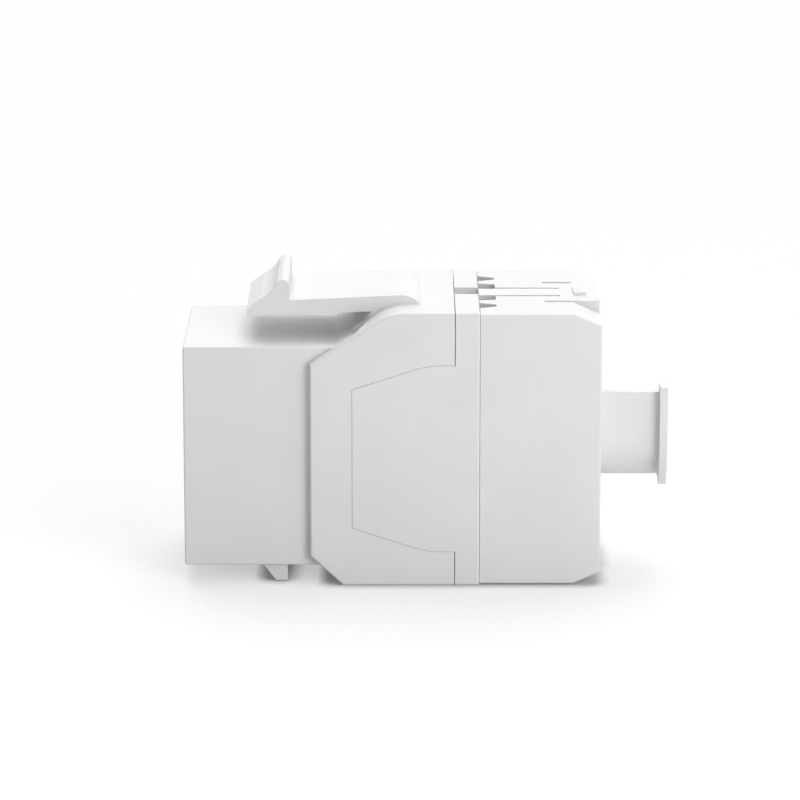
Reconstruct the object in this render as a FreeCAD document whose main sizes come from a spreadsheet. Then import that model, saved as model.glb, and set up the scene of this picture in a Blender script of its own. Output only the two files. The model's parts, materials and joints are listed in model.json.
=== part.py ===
import FreeCAD, Part
import math
import operator
import os
from types import SimpleNamespace

import Sketcher

# Keystone jack with a push-on wire cap.
# X runs from the port to the cable, Y across the jack, Z up towards the latch arm.
# The origin is the middle of the panel seat: the shoulder's plane, at mid-width and at mid-height
# of the front body.

# Driving dimensions in millimetres: name, value, what it measures
SIZES = [
    # Front body, which goes through the panel
    ("front_depth", 9.215, "shoulder to port face"),
    ("front_half_width", 7.25, "half of the front body's width"),
    ("front_half_height", 8.17, "half of the front body's height"),
    # Rear shell of the housing
    ("rear_half_width", 8.0, "half of the rear shell's width"),
    ("rear_top", 10.81, "height of the rear shell's top"),
    ("rear_bottom", 9.49, "depth of the rear shell's underside"),
    ("shoulder_top", 7.05, "height where the top slope starts"),
    ("slope_run", 5.84, "length of the top slope"),
    ("slope_round", 3.5, "rounding where the slope meets the top"),
    ("shoulder_bottom", 7.285, "depth where the bottom chamfer starts"),
    ("chamfer_run", 2.36, "length of the bottom chamfer"),
    ("housing_length", 10.485, "shoulder to the rear edge of the shell"),
    ("wall", 1.2, "wall of the shell"),
    ("cavity_front", 2.5, "shoulder to the front of the shell's cavity"),
    ("edge_round", 0.15, "rounding of outer edges"),
    # Port
    ("port_half_width", 5.9, "half of the port's width"),
    ("port_top", 4.5, "height of the port's roof"),
    ("port_floor", 2.9, "depth of the port's floor"),
    ("notch_half_width", 3.15, "half of the plug latch's notch"),
    ("notch_floor", 4.3, "depth of the plug latch's notch"),
    ("tab_half_width", 2.0, "half of the slot for the plug latch's tail"),
    ("tab_floor", 5.6, "depth of the slot for the plug latch's tail"),
    ("port_wall", 1.6, "front wall that the plug latch catches behind"),
    ("latch_pocket", 6.5, "length of the pocket behind that wall"),
    # Panel latch arm on the top
    ("arm_half_width", 4.75, "half of the arm's width"),
    ("arm_reach", 4.62, "shoulder to the arm's tip"),
    ("arm_gap", 1.78, "gap between the front body and the arm's tip"),
    ("tip_height", 0.49, "upright face of the arm's tip"),
    ("scoop_x", 3.64, "shoulder to the start of the thumb scoop"),
    ("scoop_rise", 1.235, "scoop's start above the tip's underside"),
    ("scoop_round", 2.2, "hollow of the scoop"),
    ("riser_x", 2.635, "shoulder to the ridge's riser"),
    ("riser_rise", 2.075, "riser's foot above the tip's underside"),
    ("ridge_x", 2.42, "shoulder to the ridge's front"),
    ("ridge_rise", 2.445, "ridge's front above the tip's underside"),
    ("crest_x", 2.12, "shoulder to the start of the ridge's rounding"),
    ("crest_rise", 2.635, "start of the rounding above the tip's underside"),
    ("ridge_back", 1.55, "shoulder to the ridge's rear face"),
    ("ridge_back_rise", 2.345, "ridge's rear edge above the tip's underside"),
    ("ridge_round", 0.42, "rounding of the ridge"),
    ("arm_thickness", 1.15, "arm behind the ridge, above the tip's underside"),
    ("crown_x", 6.55, "shoulder to the end of the arm's flat top"),
    ("crown_rise", 0.67, "flat top above the shell"),
    ("crown_end", 8.07, "shoulder to where the crown meets the shell"),
    ("crown_round", 1.9, "rounding of the crown"),
    ("root_x", 4.44, "shoulder to the end of the arm's underside"),
    ("root_drop", 0.53, "end of the arm's underside below the shell's top"),
    ("foot_x", 3.5, "shoulder to the foot of the arm's root"),
    ("root_round", 0.3, "rounding between the arm's sides and the shell"),
    ("relief_end", 3.15, "shoulder to the end of the relief at the shell's sides"),
    ("relief_drop", 0.26, "relief's end below the slope"),
    # Fixed tooth under the front body
    ("tooth_half_width", 6.8, "half of the tooth's width"),
    ("tooth_back", 1.7, "shoulder to the tooth's rear face"),
    ("tooth_flat", 0.85, "length of the tooth's flat"),
    ("tooth_front", 3.53, "shoulder to the start of the tooth's ramp"),
    ("tooth_drop", 1.26, "height of the tooth"),
    # Clearances
    ("fit", 0.1, "clearance between pieces that seat in each other"),
    ("seam_gap", 0.05, "gap between the housing and the terminal block"),
    ("parting", 0.02, "gap around the terminal block's side tongues"),
    ("cap_gap", 0.02, "gap between the terminal block and the cap"),
    # Contacts and their carrier
    ("contact_pitch", 1.016, "spacing of the spring contacts"),
    ("contact_width", 0.45, "width of a spring contact"),
    ("contact_thickness", 0.35, "thickness of a spring contact"),
    ("contact_height", 5.6, "height of the contacts' upper run"),
    ("contact_front", 5.0, "shoulder to the contacts' front bend"),
    ("bend_round", 0.55, "radius of the front bend"),
    ("contact_angle", 24.0, "slope of the contacts' free arms in degrees"),
    ("free_arm", 7.4, "length of the contacts' free arms"),
    ("tail_length", 0.4, "contact tails behind the circuit board"),
    ("slot_room", 0.09, "room around a contact in its slot"),
    ("carrier_front", 6.0, "shoulder to the carrier's front edge"),
    ("carrier_top", 6.5, "height of the carrier's roof"),
    ("carrier_wall", 1.3, "shoulder to the wall that ends the port"),
    ("carrier_rear", 6.4, "shoulder to the carrier's rear face"),
    ("comb_depth", 0.9, "depth of the comb that guides the free arms"),
    ("comb_floor", 0.8, "height of the comb's floor"),
    # Circuit board
    ("board_standoff", 0.6, "gap on each side of the circuit board"),
    ("board_thickness", 1.2, "thickness of the circuit board"),
    ("contact_hole", 0.36, "radius of the holes for contact tails"),
    ("pin_hole", 0.52, "radius of the holes for blade pins"),
    # Terminal block
    ("flange_thickness", 1.77, "part of the block that shows"),
    ("tongue_front", 3.05, "shoulder to the front of the side tongues"),
    ("tongue_front_half", 5.17, "half of the tongues' front edge"),
    ("tongue_bend", 7.4, "shoulder to where the tongues' edges bend"),
    ("tongue_bend_half", 6.6, "half height of the tongues there"),
    ("tongue_straight", 9.4, "shoulder to where the edges run straight"),
    ("tongue_half", 6.95, "half height of the tongues at the rear"),
    ("tongue_round", 6.4, "rounding of the tongues' edges"),
    ("tongue_thickness", 1.1, "thickness of the tongues"),
    ("release_half_width", 1.14, "half of the release slot in the block's rim"),
    ("release_depth", 1.2, "depth of the release slot"),
    ("row_offset", 6.0, "distance of each terminal row from the middle"),
    ("tower_half_height", 1.8, "half of the towers' height"),
    ("tower_half_width", 6.4, "half of the towers' width"),
    ("tower_length", 3.15, "towers behind the block's rim"),
    ("wire_inner", 2.1, "distance of the inner wires from the middle"),
    ("wire_outer", 4.75, "distance of the outer wires from the middle"),
    ("wire_slot", 0.55, "half of the wire slots in the towers"),
    ("slot_root", 0.3, "wire slots' root behind the block's rim"),
    # Blades
    ("blade_thickness", 0.4, "thickness of a blade"),
    ("blade_half_width", 0.95, "half of a blade's head"),
    ("blade_stem", 0.5, "half of a blade's stem"),
    ("blade_pin", 0.32, "half of a blade's pin"),
    ("blade_embed", 0.6, "blade heads set into the block's rim"),
    ("blade_gap", 0.15, "half of the gap that grips the wire"),
    ("blade_lead", 0.6, "lead-in at the blade's tip"),
    ("blade_short", 0.4, "blade tips inside the towers' ends"),
    ("blade_room", 0.05, "room around a blade in its slit"),
    # Wire cap
    ("cap_length", 8.79, "length of the cap"),
    ("cap_inset", 0.09, "cap's surface inside the block's rim"),
    ("cap_chamfer_run", 1.96, "length of the cap's rear chamfers"),
    ("cap_chamfer_drop", 0.86, "height of the cap's rear chamfers"),
    ("cap_wall", 1.2, "wall of the cap"),
    ("notch_length", 1.22, "length of the wire notches"),
    ("notch_mouth", 0.9, "half of a wire notch at its mouth"),
    ("notch_root", 0.6, "half of an inner wire notch at its end"),
    ("notch_end", 0.3, "half of an outer wire notch at its end"),
    ("finger_half_width", 1.14, "half of the cap's latch finger"),
    ("finger_slit", 0.38, "slits beside the latch finger"),
    ("finger_length", 5.95, "length of the latch finger"),
    ("lever_half_width", 3.1, "half of the release lever"),
    ("lever_slit", 0.45, "slits beside the release lever"),
    ("lever_length", 4.02, "length of the release lever"),
    ("lever_room", 0.4, "gap under the release lever's end"),
    ("nub_front", 1.82, "cap's rear face to the nub's front"),
    ("nub_length", 0.92, "length of the nub"),
    ("nub_height", 0.2, "height of the nub"),
    ("pusher_gap", 0.4, "gap between the towers and the wire pushers' block"),
    ("pusher_half_width", 0.4, "half of a wire pusher"),
    ("pusher_room", 0.25, "room between a wire pusher and the blade"),
    # Cable saddle behind the cap
    ("cable_radius", 2.8, "inner radius of the saddle"),
    ("cable_height", 0.55, "height of the cable's axis"),
    ("entry_radius", 2.6, "radius of the cable entry in the cap's rear wall"),
    ("saddle_wall", 0.75, "wall of the saddle"),
    ("saddle_flat", 1.0, "half of the flat under the saddle"),
    ("saddle_length", 5.03, "cap's rear face to the saddle's end"),
    ("saddle_near", 3.41, "saddle's high side above the cable's axis"),
    ("saddle_far", 0.9, "saddle's low side above the cable's axis"),
    ("collar_thickness", 0.57, "thickness of the end collar"),
    ("collar_overhang", 0.84, "collar outside the saddle"),
    ("collar_lift", 0.54, "collar above the saddle's high side"),
    ("collar_depth", 3.74, "collar's feet below the cable's axis"),
    ("collar_round", 5.3, "rounding of the collar's lower sides"),
    ("collar_feet", 2.85, "distance of the collar's feet from the middle"),
    ("collar_notch", 2.03, "half of the notch between the feet"),
]

CONTACTS = 8
OVERRUN = 1.0
EMBED = 0.3
POINT_TOLERANCE = 1e-4


class Size:
    """A length with the sheet expression that gives it."""

    def __init__(self, text, value):
        self.text = text
        self.value = value

    def __add__(self, other):
        return combined(self, "+", other, operator.add)

    def __radd__(self, other):
        return combined(other, "+", self, operator.add)

    def __sub__(self, other):
        return combined(self, "-", other, operator.sub)

    def __rsub__(self, other):
        return combined(other, "-", self, operator.sub)

    def __mul__(self, other):
        return combined(self, "*", other, operator.mul)

    def __rmul__(self, other):
        return combined(other, "*", self, operator.mul)

    def __truediv__(self, other):
        return combined(self, "/", other, operator.truediv)

    def __neg__(self):
        return combined(0, "-", self, operator.sub)


def as_size(item):
    return item if isinstance(item, Size) else Size(f"({float(item)})", float(item))


def combined(left, sign, right, operation):
    left, right = as_size(left), as_size(right)
    return Size(f"({left.text} {sign} {right.text})", operation(left.value, right.value))


def root(size):
    return Size(f"sqrt({size.text})", math.sqrt(size.value))


def sine(degrees):
    return Size(f"sin({degrees.text})", math.sin(math.radians(degrees.value)))


def cosine(degrees):
    return Size(f"cos({degrees.text})", math.cos(math.radians(degrees.value)))


# Document and its sheet of sizes
doc = FreeCAD.newDocument("keystone_jack")
sheet = doc.addObject("Spreadsheet::Sheet", "Sizes")
for row, (name, value, meaning) in enumerate(SIZES, start=1):
    sheet.set(f"A{row}", meaning)
    sheet.set(f"B{row}", str(value))
    sheet.setAlias(f"B{row}", name)
doc.recompute()
S = SimpleNamespace(**{name: Size(f"Sizes.{name}", value) for name, value, meaning in SIZES})

# Places that several pieces share
slope = (S.rear_top - S.shoulder_top) / S.slope_run
slope_stretch = root(1 + slope * slope)
middle = (S.rear_top - S.rear_bottom) / 2
cavity_half_width = S.rear_half_width - S.wall
board_front = S.carrier_rear + S.board_standoff
board_rear = board_front + S.board_thickness
block_front = S.housing_length + S.seam_gap
block_rear = block_front + S.flange_thickness
tower_end = block_rear + S.tower_length
cap_front = block_rear + S.cap_gap
cap_rear = cap_front + S.cap_length
cap_half_width = S.rear_half_width - S.cap_inset
cap_top = S.rear_top - S.cap_inset
cap_bottom = S.rear_bottom - S.cap_inset
ROWS = (middle + S.row_offset, middle - S.row_offset)
WIRES = (-S.wire_outer, -S.wire_inner, S.wire_inner, S.wire_outer)


# Sketches and features

def new_body(name):
    body = doc.addObject("PartDesign::Body", name)
    body.Label = name
    return body


def bind(item, path, size):
    item.setExpression(path, as_size(size).text)


def new_sketch(body, name, role, offset=0):
    """A sketch on one of the body's own origin planes, moved along its normal."""
    plane = [feature for feature in body.Origin.OriginFeatures if feature.Role == role][0]
    sketch = body.newObject("Sketcher::SketchObject", name)
    sketch.AttachmentSupport = (plane, [""])
    sketch.MapMode = "FlatFace"
    bind(sketch, "AttachmentOffset.Base.z", offset)
    return sketch


def fix_point(sketch, geometry, end, point):
    """Ties one end of a side to its place in the sketch."""
    for kind, size in zip(("DistanceX", "DistanceY"), point):
        number = sketch.addConstraint(Sketcher.Constraint(kind, -1, 1, geometry, end, size.value))
        bind(sketch, f"Constraints[{number}]", size)


def arc_between(start, end, radius):
    """An arc; a positive radius turns left on the way from start to end, a negative one right."""
    first = FreeCAD.Vector(start[0].value, start[1].value, 0)
    last = FreeCAD.Vector(end[0].value, end[1].value, 0)
    chord = last - first
    reach = math.sqrt(radius * radius - chord.Length * chord.Length / 4)
    left = FreeCAD.Vector(-chord.y, chord.x, 0).normalize()
    centre = (first + last) / 2 + left * math.copysign(reach, radius)
    if radius < 0:
        first, last = last, first
    angles = [math.atan2(point.y - centre.y, point.x - centre.x) for point in (first, last)]
    circle = Part.Circle(centre, FreeCAD.Vector(0, 0, 1), abs(radius))
    return Part.ArcOfCircle(circle, angles[0], angles[1])


def outline(sketch, points, arcs=None):
    """A closed outline; arcs maps a side's number to its radius, signed as for arc_between."""
    points = [(as_size(across), as_size(up)) for across, up in points]
    arcs = arcs or {}
    ends = []
    for number, start in enumerate(points):
        end = points[(number + 1) % len(points)]
        if number in arcs:
            radius = as_size(arcs[number])
            side = sketch.addGeometry(arc_between(start, end, radius.value))
            length = Size(f"abs({radius.text})", abs(radius.value))
            limit = sketch.addConstraint(Sketcher.Constraint("Radius", side, length.value))
            bind(sketch, f"Constraints[{limit}]", length)
            ends.append((side, 1, 2) if radius.value > 0 else (side, 2, 1))
        else:
            corners = [FreeCAD.Vector(across.value, up.value, 0) for across, up in (start, end)]
            ends.append((sketch.addGeometry(Part.LineSegment(*corners)), 1, 2))
    for number, (side, begins, stops) in enumerate(ends):
        following, next_begins, next_stops = ends[(number + 1) % len(ends)]
        sketch.addConstraint(Sketcher.Constraint("Coincident", side, stops, following, next_begins))
        fix_point(sketch, side, begins, points[number])


def rectangle(sketch, low, high):
    outline(sketch, [low, (high[0], low[1]), high, (low[0], high[1])])


def circle(sketch, centre, radius):
    centre = (as_size(centre[0]), as_size(centre[1]))
    place = FreeCAD.Vector(centre[0].value, centre[1].value, 0)
    ring = sketch.addGeometry(Part.Circle(place, FreeCAD.Vector(0, 0, 1), radius.value))
    number = sketch.addConstraint(Sketcher.Constraint("Radius", ring, radius.value))
    bind(sketch, f"Constraints[{number}]", radius)
    fix_point(sketch, ring, 3, centre)


def add_feature(body, kind, name, sketch, length, both, backwards):
    feature = body.newObject(f"PartDesign::{kind}", name)
    feature.Profile = sketch
    feature.SideType = "Symmetric" if both else "One side"
    feature.Reversed = backwards
    bind(feature, "Length", length)
    doc.recompute()
    return feature


def pad(body, name, sketch, length, both=False, backwards=False):
    """Material along the sketch's normal, or half to each side of it."""
    return add_feature(body, "Pad", name, sketch, length, both, backwards)


def pocket(body, name, sketch, length, both=False, along=False):
    """A cut against the sketch's normal, along it, or half to each side of it."""
    before = body.Shape.Volume
    feature = add_feature(body, "Pocket", name, sketch, length, both, along)
    if body.Shape.Volume > before - POINT_TOLERANCE:
        raise RuntimeError(f"{name} cuts nothing")
    return feature


def pattern_across(body, feature, name, span, copies):
    """Copies of a feature, evenly spaced along Y."""
    pattern = body.newObject("PartDesign::LinearPattern", name)
    pattern.Originals = [feature]
    axis = [item for item in body.Origin.OriginFeatures if item.Role == "Y_Axis"][0]
    pattern.Direction = (axis, [""])
    bind(pattern, "Length", span)
    pattern.Occurrences = copies
    body.Tip = pattern
    doc.recompute()
    return pattern


def round_edges(body, name, radius, chosen):
    """Rounds the edges of the body for which chosen(edge) is true."""
    base = body.Tip
    names = [f"Edge{n}" for n, edge in enumerate(base.Shape.Edges, start=1) if chosen(edge)]
    if not names:
        raise RuntimeError(f"{name} finds no edge")
    fillet = body.newObject("PartDesign::Fillet", name)
    fillet.Base = (base, names)
    bind(fillet, "Radius", radius)
    doc.recompute()
    return fillet


def ends_at(edge, axis, size):
    """For each end of an edge, whether it lies at one place along an axis."""
    return [abs(getattr(corner.Point, axis) - size.value) < POINT_TOLERANCE for corner in edge.Vertexes]


def all_at(edge, axis, size):
    return all(ends_at(edge, axis, size))


def reaches(edge, axis, size):
    return any(ends_at(edge, axis, size))


def on_sides(edge, half_width):
    """Whether an edge lies in the body's near or far side."""
    return all_at(edge, "y", half_width) or all_at(edge, "y", -half_width)


# Front housing

def tongue_outline(grow):
    """Side view of a tongue, from the housing's window to inside the block's rim."""
    rear = block_front + EMBED
    lower = [
        (S.tongue_front - grow, -(S.tongue_front_half + grow)),
        (S.tongue_bend, -(S.tongue_bend_half + grow)),
        (S.tongue_straight, -(S.tongue_half + grow)),
        (rear, -(S.tongue_half + grow)),
    ]
    upper = [(across, -up) for across, up in reversed(lower)]
    return lower + upper, {1: S.tongue_round, 5: S.tongue_round}


def shell_outline():
    return [
        (0, -S.shoulder_bottom),
        (S.chamfer_run, -S.rear_bottom),
        (S.housing_length, -S.rear_bottom),
        (S.housing_length, S.rear_top),
        (S.slope_run, S.rear_top),
        (0, S.shoulder_top),
    ]


def cavity_outline():
    low = S.wall - S.rear_bottom
    high = S.rear_top - S.wall
    rear = S.housing_length + OVERRUN
    return [
        (S.cavity_front, low),
        (rear, low),
        (rear, high),
        ((high - S.shoulder_top + S.wall * slope_stretch) / slope, high),
        (S.cavity_front, S.shoulder_top + S.cavity_front * slope - S.wall * slope_stretch),
    ]


def port_outline():
    half = [
        (S.tab_half_width, -S.tab_floor),
        (S.tab_half_width, -S.notch_floor),
        (S.notch_half_width, -S.notch_floor),
        (S.notch_half_width, -S.port_floor),
        (S.port_half_width, -S.port_floor),
        (S.port_half_width, S.port_top),
    ]
    return half + [(-across, up) for across, up in reversed(half)]


def arm_outline():
    """Side view of the latch arm: underside, root, crown, flat top, ridge, scoop and ramp."""
    tip = S.front_half_height + S.arm_gap
    points = [
        (-S.arm_reach, tip),
        (S.root_x, S.rear_top - S.root_drop),
        (S.foot_x, S.shoulder_top + S.foot_x * slope - EMBED),
        (S.crown_end, S.rear_top - EMBED),
        (S.crown_end, S.rear_top),
        (S.crown_x, S.rear_top + S.crown_rise),
        (-S.ridge_back, tip + S.arm_thickness),
        (-S.ridge_back, tip + S.ridge_back_rise),
        (-S.crest_x, tip + S.crest_rise),
        (-S.ridge_x, tip + S.ridge_rise),
        (-S.riser_x, tip + S.riser_rise),
        (-S.scoop_x, tip + S.scoop_rise),
        (-S.arm_reach, tip + S.tip_height),
    ]
    return points, {4: S.crown_round, 7: S.ridge_round, 10: -S.scoop_round}


def relief_outline():
    """Side view of the relief under the arm, above the front body's top."""
    start = (S.front_half_height - S.shoulder_top) / slope
    end = S.shoulder_top + S.relief_end * slope
    return [
        (start, S.front_half_height),
        (S.relief_end, end - S.relief_drop),
        (S.relief_end, end + EMBED),
        (start, S.front_half_height + EMBED),
    ]


def tooth_outline():
    floor = S.front_half_height + S.tooth_drop
    return [
        (-S.tooth_front, EMBED - S.front_half_height),
        (-S.tooth_front, -S.front_half_height),
        (-S.tooth_back - S.tooth_flat, -floor),
        (-S.tooth_back, -floor),
        (-S.tooth_back, EMBED - S.front_half_height),
    ]


def on_root(edge):
    """Whether an edge is where a side of the arm meets the rounding of the shell's top."""
    below = edge.BoundBox.ZMax < S.rear_top.value + POINT_TOLERANCE
    return below and on_sides(edge, S.arm_half_width) and isinstance(edge.Curve, Part.Circle)


def front_housing():
    body = new_body("front_housing")
    sketch = new_sketch(body, "shell_side", "XZ_Plane")
    outline(sketch, shell_outline())
    pad(body, "shell", sketch, 2 * S.rear_half_width, both=True)
    round_edges(body, "slope_rounding", S.slope_round,
                lambda edge: all_at(edge, "x", S.slope_run) and all_at(edge, "z", S.rear_top))
    round_edges(body, "shell_edges", S.edge_round,
                lambda edge: on_sides(edge, S.rear_half_width) and not all_at(edge, "x", S.housing_length))

    sketch = new_sketch(body, "front_block_side", "XZ_Plane")
    rectangle(sketch, (-S.front_depth, -S.front_half_height), (S.cavity_front, S.front_half_height))
    pad(body, "front_block", sketch, 2 * S.front_half_width, both=True)
    round_edges(body, "front_edges", S.edge_round,
                lambda edge: reaches(edge, "x", -S.front_depth))

    sketch = new_sketch(body, "cavity_side", "XZ_Plane")
    outline(sketch, cavity_outline())
    pocket(body, "cavity", sketch, 2 * cavity_half_width, both=True)

    sketch = new_sketch(body, "port_front", "YZ_Plane", -S.front_depth)
    outline(sketch, port_outline())
    pocket(body, "port", sketch, S.front_depth + S.cavity_front, along=True)

    sketch = new_sketch(body, "latch_pocket_front", "YZ_Plane", S.port_wall - S.front_depth)
    rectangle(sketch, (-S.notch_half_width, -S.tab_floor), (S.notch_half_width, -S.port_floor))
    pocket(body, "plug_latch_pocket", sketch, S.latch_pocket, along=True)

    sketch = new_sketch(body, "carrier_seat_front", "YZ_Plane", -S.carrier_front - S.fit)
    rectangle(sketch, (-S.port_half_width, S.port_top), (S.port_half_width, S.carrier_top + S.fit))
    pocket(body, "carrier_seat", sketch, S.carrier_front + S.fit + S.cavity_front, along=True)

    sketch = new_sketch(body, "window_side", "XZ_Plane")
    points, arcs = tongue_outline(S.parting)
    outline(sketch, points, arcs)
    pocket(body, "side_windows", sketch, 2 * S.rear_half_width + OVERRUN, both=True)

    sketch = new_sketch(body, "relief_side", "XZ_Plane")
    outline(sketch, relief_outline())
    pocket(body, "arm_relief", sketch, 2 * S.front_half_width, both=True)

    level = S.shoulder_top + S.relief_end * slope - S.relief_drop
    sketch = new_sketch(body, "relief_end_plan", "XY_Plane", level)
    for side in (-1, 1):
        outline(sketch, [
            (S.relief_end, side * S.front_half_width),
            (S.root_x, side * S.arm_half_width),
            (S.relief_end, side * S.arm_half_width),
        ])
    pocket(body, "relief_ends", sketch, S.rear_top - level, along=True)

    sketch = new_sketch(body, "arm_side", "XZ_Plane")
    points, arcs = arm_outline()
    outline(sketch, points, arcs)
    pad(body, "latch_arm", sketch, 2 * S.arm_half_width, both=True)
    round_edges(body, "root_rounding", S.root_round, on_root)

    sketch = new_sketch(body, "tooth_side", "XZ_Plane")
    outline(sketch, tooth_outline())
    pad(body, "tooth", sketch, 2 * S.tooth_half_width, both=True)
    return body


# Contacts and their carrier

def contact_slot_outline():
    """Side view of a contact's slot: open below under the roof, with the comb at the rear."""
    half = S.contact_thickness / 2 + S.slot_room
    comb = S.carrier_wall + S.comb_depth
    front = -S.contact_front - S.bend_round - S.contact_thickness
    return [
        (front, S.comb_floor),
        (comb, S.comb_floor),
        (comb, S.contact_height - half),
        (S.carrier_rear + OVERRUN, S.contact_height - half),
        (S.carrier_rear + OVERRUN, S.contact_height + half),
        (front, S.contact_height + half),
    ]


def contact_carrier():
    body = new_body("contact_carrier")
    sketch = new_sketch(body, "carrier_side", "XZ_Plane")
    outline(sketch, [
        (-S.carrier_front, S.port_top + S.fit),
        (S.carrier_wall, S.port_top + S.fit),
        (S.carrier_wall, S.fit - S.port_floor),
        (S.cavity_front + S.fit, S.fit - S.port_floor),
        (S.cavity_front + S.fit, S.fit - S.tab_floor),
        (S.carrier_rear, S.fit - S.tab_floor),
        (S.carrier_rear, S.carrier_top),
        (-S.carrier_front, S.carrier_top),
    ])
    pad(body, "carrier_block", sketch, 2 * (S.port_half_width - S.fit), both=True)

    first = S.contact_pitch * (CONTACTS - 1) / 2
    sketch = new_sketch(body, "contact_slot_side", "XZ_Plane", first)
    outline(sketch, contact_slot_outline())
    slot = pocket(body, "contact_slot", sketch, S.contact_width + 2 * S.slot_room, both=True)
    pattern_across(body, slot, "contact_slots", 2 * first, CONTACTS)
    return body


def spring_contact(number):
    """A strip bent back on itself: a run along the roof, a front bend and a sloping free arm."""
    body = new_body(f"spring_contact_{number}")
    half = S.contact_thickness / 2
    turn_x = -S.contact_front
    turn_z = S.contact_height - S.bend_round
    across, down = sine(S.contact_angle), cosine(S.contact_angle)

    def on_bend(radius):
        return turn_x - radius * across, turn_z - radius * down

    def at_end(radius):
        bend_x, bend_z = on_bend(radius)
        return bend_x + S.free_arm * down, bend_z - S.free_arm * across

    outer, inner = S.bend_round + half, S.bend_round - half
    tail = board_rear + S.tail_length
    sketch = new_sketch(body, f"contact_side_{number}", "XZ_Plane")
    outline(sketch, [
        (tail, S.contact_height + half),
        (turn_x, S.contact_height + half),
        (turn_x - outer, turn_z),
        on_bend(outer),
        at_end(outer),
        at_end(inner),
        on_bend(inner),
        (turn_x - inner, turn_z),
        (turn_x, S.contact_height - half),
        (tail, S.contact_height - half),
    ], {1: outer, 2: outer, 6: -inner, 7: -inner})
    pad(body, f"contact_strip_{number}", sketch, S.contact_width, both=True)
    bind(body, "Placement.Base.y", S.contact_pitch * (number - (CONTACTS + 1) / 2))
    return body


# Circuit board

def circuit_board():
    body = new_body("circuit_board")
    half_width = cavity_half_width - 2 * S.fit
    sketch = new_sketch(body, "board_front", "YZ_Plane", board_front)
    rectangle(sketch, (-half_width, S.wall - S.rear_bottom + 2 * S.fit),
              (half_width, S.rear_top - S.wall - 2 * S.fit))
    pad(body, "board", sketch, S.board_thickness)

    sketch = new_sketch(body, "hole_places", "YZ_Plane", board_front)
    for number in range(CONTACTS):
        circle(sketch, (S.contact_pitch * (number - (CONTACTS - 1) / 2), S.contact_height), S.contact_hole)
    for height in ROWS:
        for across in WIRES:
            circle(sketch, (across, height), S.pin_hole)
    pocket(body, "holes", sketch, S.board_thickness, along=True)
    return body


# Terminal block and its blades

def blade_slit(across):
    """Plan of the slit that a blade slides into, open at both ends."""
    stem = S.blade_stem + S.blade_room
    head = S.blade_half_width + S.blade_room
    front = board_rear + S.board_standoff - OVERRUN / 2
    shoulder = block_rear - S.blade_embed - S.blade_room
    rear = tower_end + OVERRUN
    half = [(front, stem), (shoulder, stem), (shoulder, head), (rear, head)]
    near = [(along, across - width) for along, width in half]
    far = [(along, across + width) for along, width in reversed(half)]
    return near + far


def idc_block():
    body = new_body("idc_block")
    sketch = new_sketch(body, "rim_front", "YZ_Plane", block_front)
    rectangle(sketch, (-S.rear_half_width, -S.rear_bottom), (S.rear_half_width, S.rear_top))
    pad(body, "rim", sketch, S.flange_thickness)
    round_edges(body, "rim_edges", S.edge_round,
                lambda edge: not all_at(edge, "x", block_front))

    core_front = board_rear + S.board_standoff
    core_half = cavity_half_width - S.fit
    sketch = new_sketch(body, "core_front", "YZ_Plane", core_front)
    rectangle(sketch, (-core_half, S.wall - S.rear_bottom + S.fit), (core_half, S.rear_top - S.wall - S.fit))
    pad(body, "core", sketch, block_front - core_front + EMBED)

    for side, label in ((1, "near"), (-1, "far")):
        sketch = new_sketch(body, f"tongue_side_{label}", "XZ_Plane", side * S.rear_half_width)
        points, arcs = tongue_outline(0)
        outline(sketch, points, arcs)
        pad(body, f"tongue_{label}", sketch, S.tongue_thickness, backwards=side > 0)

    for height, label in zip(ROWS, ("upper", "lower")):
        sketch = new_sketch(body, f"tower_rear_{label}", "YZ_Plane", block_rear)
        rectangle(sketch, (-S.tower_half_width, height - S.tower_half_height),
                  (S.tower_half_width, height + S.tower_half_height))
        pad(body, f"tower_{label}", sketch, S.tower_length)

    sketch = new_sketch(body, "wire_slot_plan", "XY_Plane")
    for across in WIRES:
        rectangle(sketch, (block_rear + S.slot_root, across - S.wire_slot),
                  (tower_end + OVERRUN, across + S.wire_slot))
    pocket(body, "wire_slots", sketch, 2 * S.rear_top, both=True)

    for height, label in zip(ROWS, ("upper", "lower")):
        sketch = new_sketch(body, f"blade_slit_plan_{label}", "XY_Plane", height)
        for across in WIRES:
            outline(sketch, blade_slit(across))
        pocket(body, f"blade_slits_{label}", sketch, S.blade_thickness + 2 * S.blade_room, both=True)

    sketch = new_sketch(body, "release_slot_front", "YZ_Plane", block_front)
    rectangle(sketch, (-S.release_half_width, S.rear_top - S.release_depth),
              (S.release_half_width, S.rear_top + OVERRUN))
    rectangle(sketch, (-S.release_half_width, -S.rear_bottom - OVERRUN),
              (S.release_half_width, S.release_depth - S.rear_bottom))
    pocket(body, "release_slots", sketch, S.flange_thickness, along=True)
    return body


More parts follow.
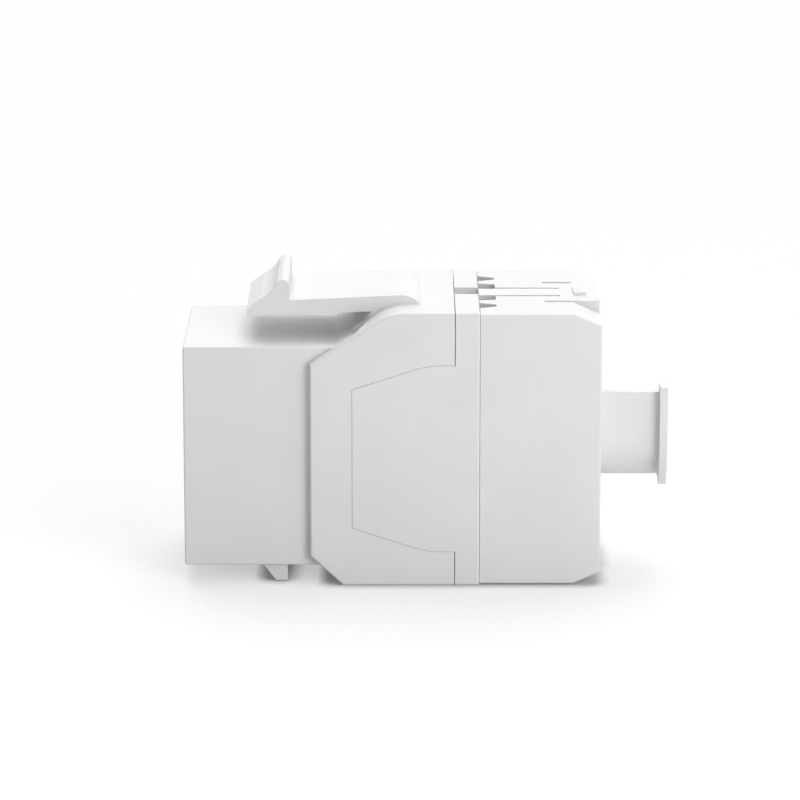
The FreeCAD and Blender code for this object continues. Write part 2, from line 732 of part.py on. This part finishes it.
def idc_blade(number):
    """A flat blade: a pin for the board, a stem in the block and a forked head for the wire."""
    body = new_body(f"idc_blade_{number}")
    pin = board_front - S.tail_length
    stem = board_rear + S.fit
    head = block_rear - S.blade_embed
    grip = block_rear + S.slot_root
    tip = tower_end - S.blade_short
    prong = (S.blade_half_width + S.blade_gap) / 2
    half = [
        (pin, S.blade_pin),
        (stem, S.blade_pin),
        (stem, S.blade_stem),
        (head, S.blade_stem),
        (head, S.blade_half_width),
        (tip - S.blade_lead, S.blade_half_width),
        (tip, prong),
        (tip - S.blade_lead, S.blade_gap),
        (grip, S.blade_gap),
    ]
    sketch = new_sketch(body, f"blade_plan_{number}", "XY_Plane")
    outline(sketch, [(along, -width) for along, width in half] + list(reversed(half)))
    pad(body, f"blade_sheet_{number}", sketch, S.blade_thickness, both=True)
    row, place = divmod(number - 1, len(WIRES))
    bind(body, "Placement.Base.y", WIRES[place])
    bind(body, "Placement.Base.z", ROWS[row])
    return body


# Wire cap with its cable saddle

def cap_outline():
    chamfer = cap_rear - S.cap_chamfer_run
    return [
        (cap_front, -cap_bottom),
        (chamfer, -cap_bottom),
        (cap_rear, S.cap_chamfer_drop - cap_bottom),
        (cap_rear, cap_top - S.cap_chamfer_drop),
        (chamfer, cap_top),
        (cap_front, cap_top),
    ]


def trough_outline(outer, bend, flat, depth, near, far):
    """Rear view of a trough for the cable: one high side, round below the axis, flat underneath."""
    inner = S.cable_radius
    axis = S.cable_height
    floor = axis - depth
    points = [
        (-outer, axis + near),
        (-outer, axis),
        (-flat, floor),
        (flat, floor),
        (outer, axis),
        (outer, axis + far),
        (inner, axis + far),
        (inner, axis),
        (0, axis - inner),
        (-inner, axis),
        (-inner, axis + near),
    ]
    return points, {1: bend, 3: bend, 7: -inner, 8: -inner}


def wire_notch(across):
    """Plan of a wire notch; the outer ones taper to their ends."""
    end = cap_front + S.notch_length
    narrow = S.notch_end if abs(across.value) > S.wire_inner.value else S.notch_root
    return [
        (cap_front - OVERRUN, across - S.notch_mouth),
        (cap_front, across - S.notch_mouth),
        (end, across - narrow),
        (end, across + narrow),
        (cap_front, across + S.notch_mouth),
        (cap_front - OVERRUN, across + S.notch_mouth),
    ]


def cap_face(body, label, level, inwards):
    """Wire notches, latch finger and release lever in the cap's upper or lower wall."""
    depth = S.cap_wall + S.pusher_room
    sketch = new_sketch(body, f"notch_plan_{label}", "XY_Plane", level)
    for across in WIRES:
        outline(sketch, wire_notch(across))
    pocket(body, f"wire_notches_{label}", sketch, depth, along=inwards)

    sketch = new_sketch(body, f"slit_plan_{label}", "XY_Plane", level)
    for side in (-1, 1):
        inner = [(cap_front - OVERRUN, S.finger_half_width),
                 (cap_front + S.finger_length, S.finger_half_width + S.finger_slit)]
        outer = [(cap_rear - S.lever_length, S.lever_half_width),
                 (cap_rear + OVERRUN, S.lever_half_width + S.lever_slit)]
        for low, high in (inner, outer):
            rectangle(sketch, (low[0], side * low[1]), (high[0], side * high[1]))
    pocket(body, f"slits_{label}", sketch, depth, along=inwards)


def wire_cap():
    body = new_body("wire_cap")
    sketch = new_sketch(body, "cap_side", "XZ_Plane")
    outline(sketch, cap_outline())
    pad(body, "cap_block", sketch, 2 * cap_half_width, both=True)
    round_edges(body, "cap_edges", S.edge_round,
                lambda edge: on_sides(edge, cap_half_width) and not all_at(edge, "x", cap_front))

    lever = cap_rear - S.cap_chamfer_run
    sketch = new_sketch(body, "lever_side", "XZ_Plane")
    rectangle(sketch, (lever, cap_top - S.cap_wall), (cap_rear, cap_top))
    rectangle(sketch, (lever, -cap_bottom), (cap_rear, S.cap_wall - cap_bottom))
    pad(body, "lever_ends", sketch, 2 * S.lever_half_width, both=True)

    inner_half = cap_half_width - S.cap_wall
    inner_rear = cap_rear - S.cap_wall
    sketch = new_sketch(body, "wire_space_front", "YZ_Plane", cap_front)
    rectangle(sketch, (-inner_half, S.cap_wall - cap_bottom), (inner_half, cap_top - S.cap_wall))
    pocket(body, "wire_space", sketch, S.cap_length - S.cap_wall, along=True)

    pusher_front = tower_end + S.pusher_gap
    for height, label in zip(ROWS, ("upper", "lower")):
        sketch = new_sketch(body, f"pusher_block_front_{label}", "YZ_Plane", pusher_front)
        rectangle(sketch, (-inner_half - EMBED, height - S.tower_half_height),
                  (inner_half + EMBED, height + S.tower_half_height))
        pad(body, f"pusher_block_{label}", sketch, inner_rear - pusher_front + EMBED)

        sketch = new_sketch(body, f"pusher_front_{label}", "YZ_Plane", cap_front + S.notch_length)
        clear = S.blade_thickness / 2 + S.pusher_room
        for across in WIRES:
            for low, high in ((-S.tower_half_height, -clear), (clear, S.tower_half_height)):
                rectangle(sketch, (across - S.pusher_half_width, height + low),
                          (across + S.pusher_half_width, height + high))
        pad(body, f"pushers_{label}", sketch, pusher_front - cap_front - S.notch_length + EMBED)

    sketch = new_sketch(body, "cable_entry_front", "YZ_Plane", inner_rear)
    circle(sketch, (0, S.cable_height), S.entry_radius)
    pocket(body, "cable_entry", sketch, S.cap_wall, along=True)

    cap_face(body, "top", cap_top, False)
    cap_face(body, "bottom", -cap_bottom, True)
    sketch = new_sketch(body, "lever_gap_front", "YZ_Plane", inner_rear)
    clear = S.lever_half_width + S.lever_slit
    rectangle(sketch, (-clear, cap_top - S.cap_wall - S.lever_room), (clear, cap_top - S.cap_wall))
    rectangle(sketch, (-clear, S.cap_wall - cap_bottom), (clear, S.cap_wall + S.lever_room - cap_bottom))
    pocket(body, "lever_gaps", sketch, S.cap_wall, along=True)

    nub = cap_rear - S.nub_front
    sketch = new_sketch(body, "nub_side", "XZ_Plane")
    rectangle(sketch, (nub, cap_top - EMBED), (nub + S.nub_length, cap_top + S.nub_height))
    pad(body, "nub", sketch, 2 * S.finger_half_width, both=True)

    saddle = S.cable_radius + S.saddle_wall
    saddle_depth = root(saddle * saddle - S.saddle_flat * S.saddle_flat)
    sketch = new_sketch(body, "saddle_front", "YZ_Plane", cap_rear - EMBED)
    points, arcs = trough_outline(saddle, saddle, S.saddle_flat, saddle_depth, S.saddle_near, S.saddle_far)
    outline(sketch, points, arcs)
    pad(body, "saddle", sketch, S.saddle_length + EMBED)

    sketch = new_sketch(body, "collar_rear", "YZ_Plane", cap_rear + S.saddle_length)
    points, arcs = trough_outline(saddle + S.collar_overhang, S.collar_round, S.collar_feet, S.collar_depth,
                                  S.saddle_near + S.collar_lift, S.saddle_far)
    outline(sketch, points, arcs)
    pad(body, "collar", sketch, S.collar_thickness, backwards=True)

    feet = S.cable_height - S.collar_depth
    notch = S.cable_height - saddle_depth
    sketch = new_sketch(body, "collar_notch_rear", "YZ_Plane", cap_rear + S.saddle_length)
    outline(sketch, [
        (-S.collar_feet, feet - OVERRUN),
        (S.collar_feet, feet - OVERRUN),
        (S.collar_feet, feet),
        (S.collar_notch, notch),
        (-S.collar_notch, notch),
        (-S.collar_feet, feet),
    ])
    pocket(body, "collar_notch", sketch, S.collar_thickness)
    return body


# The whole jack, checked and written out

bodies = [front_housing(), contact_carrier()]
bodies += [spring_contact(number) for number in range(1, CONTACTS + 1)]
bodies += [circuit_board(), idc_block()]
bodies += [idc_blade(number) for number in range(1, CONTACTS + 1)]
bodies += [wire_cap()]
doc.recompute()

for item in doc.Objects:
    if "Invalid" in item.State or "Error" in item.State:
        raise RuntimeError(f"{item.Name} failed: {item.State}")
for body in bodies:
    if body.Shape.isNull() or not body.Shape.isValid():
        raise RuntimeError(f"{body.Label} has no valid shape")
    if len(body.Shape.Solids) != 1:
        raise RuntimeError(f"{body.Label} has {len(body.Shape.Solids)} solids")

os.makedirs("parts", exist_ok=True)
for body in bodies:
    body.Shape.exportStep(f"parts/{body.Label}.step")
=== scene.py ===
import json
import math

import bpy
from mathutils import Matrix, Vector


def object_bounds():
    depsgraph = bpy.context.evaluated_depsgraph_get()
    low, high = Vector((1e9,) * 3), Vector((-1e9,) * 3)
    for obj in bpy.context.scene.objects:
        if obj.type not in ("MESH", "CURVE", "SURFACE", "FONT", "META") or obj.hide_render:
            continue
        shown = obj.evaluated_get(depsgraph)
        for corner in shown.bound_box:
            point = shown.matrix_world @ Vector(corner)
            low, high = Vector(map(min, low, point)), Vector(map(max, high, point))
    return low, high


# A white keystone jack on a pale floor. Lengths are in metres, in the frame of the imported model.
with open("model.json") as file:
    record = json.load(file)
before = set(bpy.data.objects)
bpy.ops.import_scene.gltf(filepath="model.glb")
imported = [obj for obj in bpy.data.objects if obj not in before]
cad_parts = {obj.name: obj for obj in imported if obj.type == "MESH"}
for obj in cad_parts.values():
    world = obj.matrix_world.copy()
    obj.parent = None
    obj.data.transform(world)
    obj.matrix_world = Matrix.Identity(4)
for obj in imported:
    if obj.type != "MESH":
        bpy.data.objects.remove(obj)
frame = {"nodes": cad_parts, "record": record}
cad_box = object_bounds()
MM = 0.001
WHITE = (1.0, 1.0, 1.0, 1.0)

# Camera: a long lens looking slightly down at the jack's side
LENS_MM = 190.5
SENSOR_MM = 36.0
CAMERA_PLACE = Vector((6.525, -305.68, 75.90)) * MM
CAMERA_PITCH = math.radians(13.5)
CAMERA_NEAREST = 0.01
CAMERA_FARTHEST = 10.0

# Studio: soft lamps far away, each given by where its light comes from, and one softbox close by
SUNS = {
    "overhead": {"azimuth": 180.0, "elevation": 64.0, "width": 52.0, "strength": 1.86},
    "front_right": {"azimuth": 45.0, "elevation": 45.0, "width": 50.0, "strength": 0.72},
    "back": {"azimuth": 180.0, "elevation": 20.0, "width": 50.0, "strength": 0.8},
    "port_side": {"azimuth": -90.0, "elevation": 12.0, "width": 60.0, "strength": 0.3},
}
SOFTBOX_PLACE = Vector((0.08, -0.12, 0.032))
SOFTBOX_AIM = Vector((7.0, 0.0, 0.0)) * MM
SOFTBOX_SIZE = 0.08
SOFTBOX_WATTS = 0.074
WORLD_LIGHT = 0.17
WORLD_SEEN = 1.0

# Floor: the grey that lights the jack, the darker grey that is seen, and the white added to that.
# Within the reach of the jack's walls less white is added, down to the low share of it: a painted
# contact shadow.
FLOOR_GREY = 0.7
FLOOR_SEEN_GREY = 0.51
FLOOR_LIFT = 0.49
FLOOR_PAINTED_SHADOW_REACH = 1.3 * MM
FLOOR_PAINTED_SHADOW_LOW = 0.2
FLOOR_ROUGHNESS = 0.9
FLOOR_RADIUS = 4.0
FLOOR_CORNERS = 96
FLOOR_GAP = 0.005 * MM
WALL_OPENNESS = 0.5
OPENNESS_SAMPLES = 12

# Mouldings
PLASTIC_PALE = (0.80, 0.80, 0.80, 1.0)
PLASTIC_SHADE = (0.77, 0.77, 0.77, 1.0)
CARRIER_PALE = (0.72, 0.72, 0.71, 1.0)
CARRIER_SHADE = (0.69, 0.69, 0.68, 1.0)
PLASTIC_ROUGHNESS = (0.48, 0.58)
PLASTIC_SPECULAR = 0.2
CLOUDS_PER_METRE = 180.0
CLOUD_DETAIL = 3.0
CLOUD_STOPS = (0.3, 0.7)
GRAIN_PER_METRE = 5200.0
GRAIN_DETAIL = 2.0
GRAIN_DEPTH = 0.004 * MM
GRAIN_STRENGTH = 0.35
EDGE_RADIUS = 0.05 * MM
EDGE_SAMPLES = 8

# Plated contacts and blades
GOLD_PALE = (0.95, 0.72, 0.32, 1.0)
GOLD_SHADE = (0.83, 0.60, 0.24, 1.0)
GOLD_ROUGHNESS = (0.18, 0.30)
TIN_PALE = (0.78, 0.78, 0.77, 1.0)
TIN_SHADE = (0.66, 0.66, 0.66, 1.0)
TIN_ROUGHNESS = (0.28, 0.42)
MARKS_PER_METRE = 2500.0
MARK_DETAIL = 4.0
MARK_SCALE = (0.08, 1.0, 1.0)
MARK_STOPS = (0.25, 0.75)
MARK_DEPTH = 0.002 * MM
MARK_STRENGTH = 0.3

# Circuit board
CLOTH_PITCH = 0.6 * MM
CLOTH_COLOURS = {
    "Color1": (0.030, 0.150, 0.060, 1.0),
    "Color2": (0.036, 0.170, 0.070, 1.0),
    "Mortar": (0.022, 0.120, 0.046, 1.0),
}
LACQUER_PER_METRE = 900.0
LACQUER_DETAIL = 2.0
LACQUER_ROUGHNESS = (0.28, 0.4)


# Material helpers

def new_material(name):
    material = bpy.data.materials.new(name)
    material.use_nodes = True
    tree = material.node_tree
    return material, tree, tree.nodes["Principled BSDF"]


def noise(tree, per_metre, detail, scale=(1.0, 1.0, 1.0)):
    """Noise in the part's own coordinates; a scale under 1 draws it out along that axis."""
    place = tree.nodes.new("ShaderNodeTexCoord")
    mapping = tree.nodes.new("ShaderNodeMapping")
    mapping.inputs["Scale"].default_value = scale
    texture = tree.nodes.new("ShaderNodeTexNoise")
    texture.inputs["Scale"].default_value = per_metre
    texture.inputs["Detail"].default_value = detail
    tree.links.new(place.outputs["Object"], mapping.inputs["Vector"])
    tree.links.new(mapping.outputs["Vector"], texture.inputs["Vector"])
    return texture.outputs["Fac"]


def ramp(tree, factor, stops, colours):
    """Colours along a factor, each at its stop."""
    node = tree.nodes.new("ShaderNodeValToRGB")
    for element, position, colour in zip(node.color_ramp.elements, stops, colours):
        element.position = position
        element.color = colour
    tree.links.new(factor, node.inputs["Fac"])
    return node.outputs["Color"]


def spread(tree, factor, low, high, start=0.0):
    """A factor from start to 1 turned into a value from low to high."""
    mapped = tree.nodes.new("ShaderNodeMapRange")
    mapped.inputs["From Min"].default_value = start
    mapped.inputs["To Min"].default_value = low
    mapped.inputs["To Max"].default_value = high
    tree.links.new(factor, mapped.inputs["Value"])
    return mapped.outputs["Result"]


def combine(tree, operation, first, second):
    node = tree.nodes.new("ShaderNodeMath")
    node.operation = operation
    tree.links.new(first, node.inputs[0])
    tree.links.new(second, node.inputs[1])
    return node.outputs["Value"]


def bump(tree, height, depth, strength, normal=None):
    relief = tree.nodes.new("ShaderNodeBump")
    relief.inputs["Distance"].default_value = depth
    relief.inputs["Strength"].default_value = strength
    tree.links.new(height, relief.inputs["Height"])
    if normal is not None:
        tree.links.new(normal, relief.inputs["Normal"])
    return relief.outputs["Normal"]


def openness(tree, reach):
    """1 in the open, and one half or less where a wall within reach stands beside a place."""
    hollow = tree.nodes.new("ShaderNodeAmbientOcclusion")
    hollow.samples = OPENNESS_SAMPLES
    hollow.inputs["Distance"].default_value = reach
    return hollow.outputs["AO"]


def soft_edges(tree, radius):
    """Normals that round every edge off, as a moulding's edges are."""
    bevel = tree.nodes.new("ShaderNodeBevel")
    bevel.samples = EDGE_SAMPLES
    bevel.inputs["Radius"].default_value = radius
    return bevel.outputs["Normal"]


def seen_directly(tree):
    """1 where the camera, a reflection or a clear piece looks straight at a surface."""
    path = tree.nodes.new("ShaderNodeLightPath")
    total = path.outputs["Is Camera Ray"]
    for kind in ("Is Glossy Ray", "Is Transmission Ray"):
        total = combine(tree, "MAXIMUM", total, path.outputs[kind])
    return total


# Materials

def moulded_plastic(name, pale, shade):
    """White plastic with faint flow clouds, a fine eroded grain and rounded edges."""
    material, tree, shader = new_material(name)
    clouds = noise(tree, CLOUDS_PER_METRE, CLOUD_DETAIL)
    grain = noise(tree, GRAIN_PER_METRE, GRAIN_DETAIL)
    colour = ramp(tree, clouds, CLOUD_STOPS, (shade, pale))
    rough = spread(tree, clouds, *PLASTIC_ROUGHNESS)
    normal = bump(tree, grain, GRAIN_DEPTH, GRAIN_STRENGTH, soft_edges(tree, EDGE_RADIUS))
    tree.links.new(colour, shader.inputs["Base Color"])
    tree.links.new(rough, shader.inputs["Roughness"])
    tree.links.new(normal, shader.inputs["Normal"])
    shader.inputs["Specular IOR Level"].default_value = PLASTIC_SPECULAR
    return material


def plated_metal(name, pale, shade, roughness):
    """Plated strip with rolling marks along its length."""
    material, tree, shader = new_material(name)
    marks = noise(tree, MARKS_PER_METRE, MARK_DETAIL, MARK_SCALE)
    colour = ramp(tree, marks, MARK_STOPS, (shade, pale))
    tree.links.new(colour, shader.inputs["Base Color"])
    tree.links.new(spread(tree, marks, *roughness), shader.inputs["Roughness"])
    tree.links.new(bump(tree, marks, MARK_DEPTH, MARK_STRENGTH), shader.inputs["Normal"])
    shader.inputs["Metallic"].default_value = 1.0
    return material


def board_laminate(name):
    """Green lacquered laminate with the glass cloth showing through."""
    material, tree, shader = new_material(name)
    place = tree.nodes.new("ShaderNodeTexCoord")
    cloth = tree.nodes.new("ShaderNodeTexBrick")
    cloth.inputs["Scale"].default_value = 1.0 / CLOTH_PITCH
    for socket, colour in CLOTH_COLOURS.items():
        cloth.inputs[socket].default_value = colour
    lacquer = noise(tree, LACQUER_PER_METRE, LACQUER_DETAIL)
    tree.links.new(place.outputs["Object"], cloth.inputs["Vector"])
    tree.links.new(cloth.outputs["Color"], shader.inputs["Base Color"])
    tree.links.new(spread(tree, lacquer, *LACQUER_ROUGHNESS), shader.inputs["Roughness"])
    return material


def floor_paint():
    """Pale paint that is seen as white and keeps the jack's real shadow, with a painted contact
    shadow where the jack stands on it.
    """
    material, tree, shader = new_material("floor")
    seen = seen_directly(tree)
    grey = spread(tree, seen, FLOOR_GREY, FLOOR_SEEN_GREY)
    # Painted contact shadow: less white is added where a wall of the jack stands within reach
    painted_shadow_mask = openness(tree, FLOOR_PAINTED_SHADOW_REACH)
    lift_less_painted_shadow = spread(tree, painted_shadow_mask, FLOOR_PAINTED_SHADOW_LOW * FLOOR_LIFT, FLOOR_LIFT, WALL_OPENNESS)
    tree.links.new(grey, shader.inputs["Base Color"])
    tree.links.new(combine(tree, "MULTIPLY", seen, lift_less_painted_shadow), shader.inputs["Emission Strength"])
    shader.inputs["Emission Color"].default_value = WHITE
    shader.inputs["Roughness"].default_value = FLOOR_ROUGHNESS
    shader.inputs["Specular IOR Level"].default_value = 0.0
    return material


def dress(by_slot):
    """Gives each node the material of its slot in the record."""
    for part in frame["record"]["subparts"]:
        piece = frame["nodes"][part["node"]]
        piece.data.materials.clear()
        piece.data.materials.append(by_slot[part["material_slot"]])


# Studio

def camera():
    data = bpy.data.cameras.new("camera")
    data.lens = LENS_MM
    data.sensor_width = SENSOR_MM
    data.clip_start = CAMERA_NEAREST
    data.clip_end = CAMERA_FARTHEST
    eye = bpy.data.objects.new("camera", data)
    eye.location = CAMERA_PLACE
    eye.rotation_euler = (math.pi / 2 - CAMERA_PITCH, 0.0, 0.0)
    bpy.context.collection.objects.link(eye)
    bpy.context.scene.camera = eye


def add_lamp(name, kind, shines_along, **settings):
    data = bpy.data.lights.new(name, kind)
    for setting, value in settings.items():
        setattr(data, setting, value)
    light = bpy.data.objects.new(name, data)
    light.rotation_euler = shines_along.to_track_quat("-Z", "Y").to_euler()
    bpy.context.collection.objects.link(light)
    return light


def sun(name, azimuth, elevation, width, strength):
    """A far lamp; azimuth 0 shines from the camera's side and 90 from the cable's."""
    turn, tilt = math.radians(azimuth), math.radians(elevation)
    level = math.cos(tilt)
    source = Vector((math.sin(turn) * level, -math.cos(turn) * level, math.sin(tilt)))
    add_lamp(name, "SUN", -source, energy=strength, angle=math.radians(width))


def softbox():
    light = add_lamp("softbox", "AREA", SOFTBOX_AIM - SOFTBOX_PLACE,
                     energy=SOFTBOX_WATTS, shape="DISK", size=SOFTBOX_SIZE)
    light.location = SOFTBOX_PLACE


def white_world():
    world = bpy.data.worlds.new("studio")
    world.use_nodes = True
    tree = world.node_tree
    background = tree.nodes["Background"]
    strength = spread(tree, seen_directly(tree), WORLD_LIGHT, WORLD_SEEN)
    background.inputs["Color"].default_value = WHITE
    tree.links.new(strength, background.inputs["Strength"])
    bpy.context.scene.world = world


def floor():
    bpy.ops.mesh.primitive_circle_add(vertices=FLOOR_CORNERS, radius=FLOOR_RADIUS, fill_type="NGON")
    ground = bpy.context.object
    ground.name = "floor"
    ground.location.z = cad_box[0].z - FLOOR_GAP
    ground.data.materials.append(floor_paint())


dress({
    "housing_plastic": moulded_plastic("housing_plastic", PLASTIC_PALE, PLASTIC_SHADE),
    "carrier_plastic": moulded_plastic("carrier_plastic", CARRIER_PALE, CARRIER_SHADE),
    "board": board_laminate("board"),
    "contact_gold": plated_metal("contact_gold", GOLD_PALE, GOLD_SHADE, GOLD_ROUGHNESS),
    "blade_metal": plated_metal("blade_metal", TIN_PALE, TIN_SHADE, TIN_ROUGHNESS),
})
camera()
for name, sizes in SUNS.items():
    sun(name, **sizes)
softbox()
white_world()
floor()
bpy.context.scene.view_settings.view_transform = "Standard"
